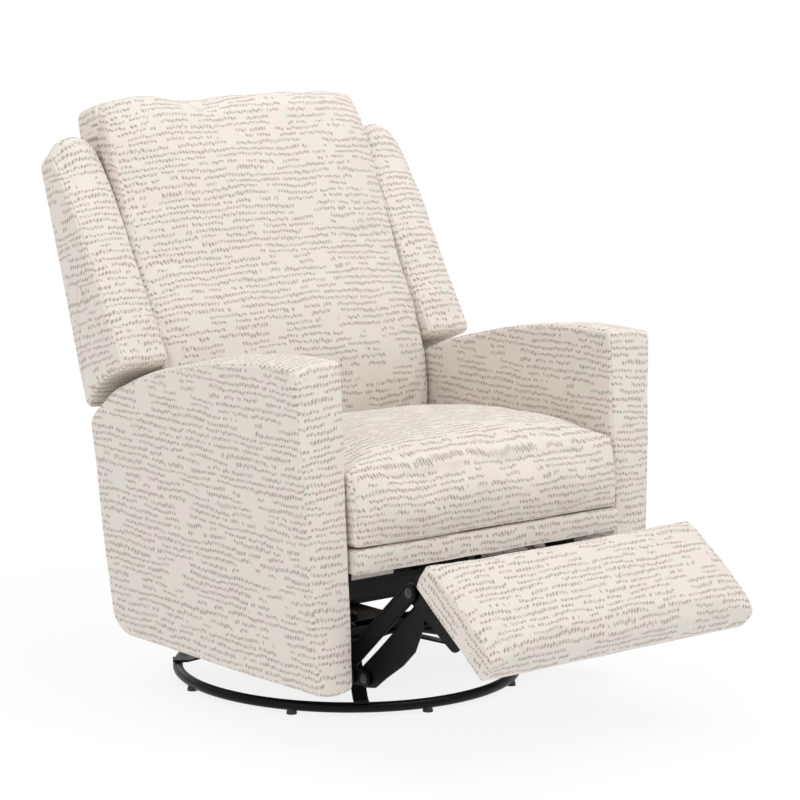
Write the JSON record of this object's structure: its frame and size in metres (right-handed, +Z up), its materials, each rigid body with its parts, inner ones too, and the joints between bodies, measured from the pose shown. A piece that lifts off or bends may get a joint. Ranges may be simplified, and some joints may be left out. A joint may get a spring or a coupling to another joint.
{
  "type": "swivel glider recliner",
  "caption": "Upholstered swivel glider recliner: winged reclining back, padded arms, seat on a folding footrest linkage, black steel ring base.",
  "frame": {"origin": "on the floor, where the swivel axis meets it", "axes": "+Z up along the swivel axis; the sitter faces -Y, and +X is at the sitter's left"},
  "size_m": [0.8, 1.1207, 1.0212],
  "materials": {
    "woven_fabric": "cream ribbed weave with short taupe dashes",
    "plywood": "bare plywood and sawn hardwood",
    "black_steel": "satin black paint",
    "black_plastic": "moulded, fine grain",
    "zinc_steel": "plain zinc-plated steel",
    "spring_wire": "oil-tempered wire",
    "cable_sheath": "smooth black sheath"
  },
  "bodies": {
    "base": {"base_ring": "black_steel", "base_feet": "black_plastic", "base_spokes": "black_steel", "base_hub": "black_steel", "lower_race": "zinc_steel", "kingpin": "zinc_steel"},
    "bearing": {"ball_cage": "black_plastic", "bearing_balls": "zinc_steel"},
    "turntable": {"upper_race": "zinc_steel", "swivel_plate": "black_steel", "glide_beams": "black_steel", "glide_uprights": "black_steel", "glide_upper_pins": "zinc_steel"},
    "front_hangers": {"glide_links_front": "black_steel"},
    "rear_hangers": {"glide_links_rear": "black_steel"},
    "carriage": {"glide_plates": "black_steel", "glide_lower_pins": "zinc_steel", "carriage_tubes": "black_steel", "side_plates": "black_steel", "back_pivot_pins": "zinc_steel", "arm_bolts": "zinc_steel", "arm_boards": "plywood", "arm_left": "woven_fabric", "arm_right": "woven_fabric", "lower_back_panel": "woven_fabric", "latch_cup": "black_plastic", "release_cable": "cable_sheath", "pawl_bracket": "black_steel"},
    "lever": {"release_lever": "black_plastic"},
    "pawl": {"lock_pawl": "black_steel"},
    "seat": {"seat_cushion": "woven_fabric", "seat_front_band": "woven_fabric", "seat_cross_rails": "plywood", "seat_side_rails": "plywood", "seat_springs": "spring_wire", "seat_plates": "black_steel", "seat_studs": "zinc_steel", "seat_cross_bar": "black_steel", "seat_pivot_pins": "zinc_steel", "footrest_springs": "spring_wire"},
    "drive": {"drive_links": "black_steel", "torque_tube": "black_steel", "knee_rivets": "zinc_steel"},
    "lift": {"lift_links": "black_steel", "lift_rivets": "zinc_steel"},
    "guide": {"guide_links": "black_steel", "guide_rivets": "zinc_steel"},
    "control": {"control_links": "black_steel"},
    "footrest": {"footrest_pad": "woven_fabric", "footrest_board": "plywood", "footrest_brackets": "black_steel"},
    "back": {"back_cushion": "woven_fabric", "back_posts": "plywood", "back_rails": "plywood", "back_springs": "spring_wire", "outside_back": "woven_fabric", "wing_left": "woven_fabric", "wing_right": "woven_fabric", "back_brackets": "black_steel"}
  },
  "joints": [
    {"name": "swivel", "type": "hinge", "parent": "base", "child": "turntable", "pos_m": [0, 0, 0.087], "axis": [0, 0, 1], "continuous": true},
    {"name": "bearing_turn", "type": "hinge", "parent": "base", "child": "bearing", "pos_m": [0, 0, 0.087], "axis": [0, 0, 1], "continuous": true},
    {"name": "glide", "type": "hinge", "parent": "turntable", "child": "front_hangers", "pos_m": [0, -0.095, 0.195], "axis": [1, 0, 0], "range_deg": [-14, 14]},
    {"name": "rear_swing", "type": "hinge", "parent": "turntable", "child": "rear_hangers", "pos_m": [0, 0.095, 0.195], "axis": [1, 0, 0], "range_deg": [-14.5, 14.5]},
    {"name": "carriage_level", "type": "hinge", "parent": "front_hangers", "child": "carriage", "pos_m": [0, -0.095, 0.115], "axis": [1, 0, 0], "range_deg": [-14.5, 14.5]},
    {"name": "lever_pull", "type": "hinge", "parent": "carriage", "child": "lever", "pos_m": [-0.305, -0.11, 0.493], "axis": [0, 1, 0], "range_deg": [0, 30], "stiffness_Nm_per_rad": 0.03, "springref_deg": -22.92},
    {"name": "pawl_lift", "type": "hinge", "parent": "carriage", "child": "pawl", "pos_m": [-0.244, -0.095, 0.254], "axis": [-1, 0, 0], "range_deg": [-0.2, 3.2]},
    {"name": "seat_advance", "type": "slide", "parent": "carriage", "child": "seat", "axis": [0, -0.9945, 0.1045], "range_m": [0, 0.028]},
    {"name": "back_recline", "type": "hinge", "parent": "carriage", "child": "back", "pos_m": [0, 0.13, 0.29], "axis": [-1, 0, 0], "range_deg": [0, 36]},
    {"name": "footrest_drive", "type": "hinge", "parent": "seat", "child": "drive", "pos_m": [0, -0.205, 0.262], "axis": [-1, 0, 0], "range_deg": [-48.9, 35.7], "deforming": ["footrest_springs"]},
    {"name": "guide_swing", "type": "hinge", "parent": "seat", "child": "guide", "pos_m": [0, -0.247, 0.27], "axis": [-1, 0, 0], "range_deg": [-50.2, 36.7]},
    {"name": "knee_fold", "type": "hinge", "parent": "drive", "child": "lift", "pos_m": [0, -0.309, 0.0975], "axis": [-1, 0, 0], "range_deg": [-43.7, 59.8]},
    {"name": "footrest_tilt", "type": "hinge", "parent": "lift", "child": "footrest", "pos_m": [0, -0.49344, 0.27238], "axis": [-1, 0, 0], "range_deg": [-62.8, 45.9]},
    {"name": "control_swing", "type": "hinge", "parent": "guide", "child": "control", "pos_m": [0, -0.378, 0.1085], "axis": [-1, 0, 0], "range_deg": [-45.8, 62.7]}
  ],
  "couplings": [
    {"joint": "bearing_turn", "follows": "swivel", "ratio": 0.5},
    {"joint": "rear_swing", "follows": "glide", "ratio": 1},
    {"joint": "carriage_level", "follows": "glide", "ratio": -1},
    {"joint": "pawl_lift", "follows": "lever_pull", "ratio": 0.1},
    {"joint": "seat_advance", "follows": "back_recline", "m_per_rad": 0.0443},
    {"joint": "guide_swing", "follows": "footrest_drive", "ratio": 1.0228},
    {"joint": "knee_fold", "follows": "footrest_drive", "ratio": -1.2186},
    {"joint": "footrest_tilt", "follows": "footrest_drive", "ratio": 1.2806},
    {"joint": "control_swing", "follows": "footrest_drive", "ratio": -1.2785}
  ]
}
